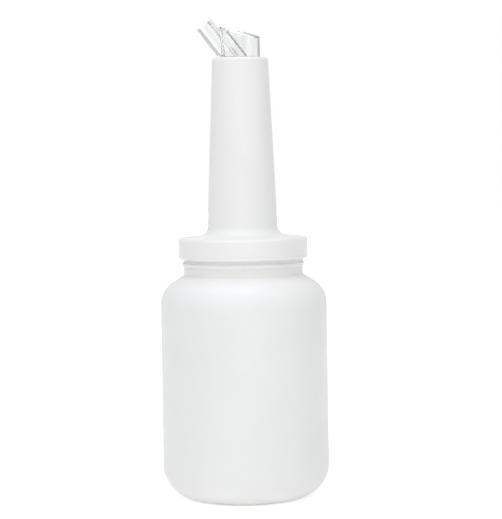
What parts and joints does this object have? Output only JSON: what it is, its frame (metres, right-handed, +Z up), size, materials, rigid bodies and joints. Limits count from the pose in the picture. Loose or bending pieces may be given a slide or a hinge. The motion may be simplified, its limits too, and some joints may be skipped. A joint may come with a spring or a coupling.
{
  "type": "store and pour bottle",
  "caption": "Wide-mouth plastic jar with a tall screw-on neck and a clear low-profile pour spout that turns and pulls out for cleaning.",
  "frame": {"origin": "centre of the jar's base, on the surface that the bottle stands on", "axes": "+Z up along the bottle's axis; the spout leans towards -X; +Y is the side away from the picture's camera"},
  "size_m": [0.1216, 0.1216, 0.3486],
  "materials": {
    "jar_plastic": "milky translucent polyethylene, blow moulded, satin",
    "neck_plastic": "milky translucent polyethylene, injection moulded, satin",
    "spout_plastic": "clear hard plastic, polished, colourless",
    "seal_rubber": "pale food-grade silicone, matt"
  },
  "bodies": {
    "jar": {"jar": "jar_plastic"},
    "gasket": {"jar_gasket": "seal_rubber"},
    "neck": {"neck": "neck_plastic"},
    "spout_seals": {"spout_seal_lower": "seal_rubber", "spout_seal_upper": "seal_rubber"},
    "spout": {"spout": "spout_plastic"}
  },
  "joints": [
    {"name": "neck_lift", "type": "slide", "parent": "jar", "child": "gasket", "axis": [0, 0, 1], "range_m": [0, 0.009]},
    {"name": "neck_unscrew", "type": "hinge", "parent": "gasket", "child": "neck", "pos_m": [0, 0, 0.188], "axis": [0, 0, 1], "range_deg": [0, 630]},
    {"name": "spout_pull", "type": "slide", "parent": "neck", "child": "spout_seals", "axis": [0, 0, 1], "range_m": [0, 0.04]},
    {"name": "spout_turn", "type": "hinge", "parent": "spout_seals", "child": "spout", "pos_m": [0, 0, 0.3202], "axis": [0, 0, 1], "continuous": true}
  ],
  "couplings": [
    {"joint": "neck_lift", "follows": "neck_unscrew", "m_per_rad": 0.00080851}
  ]
}
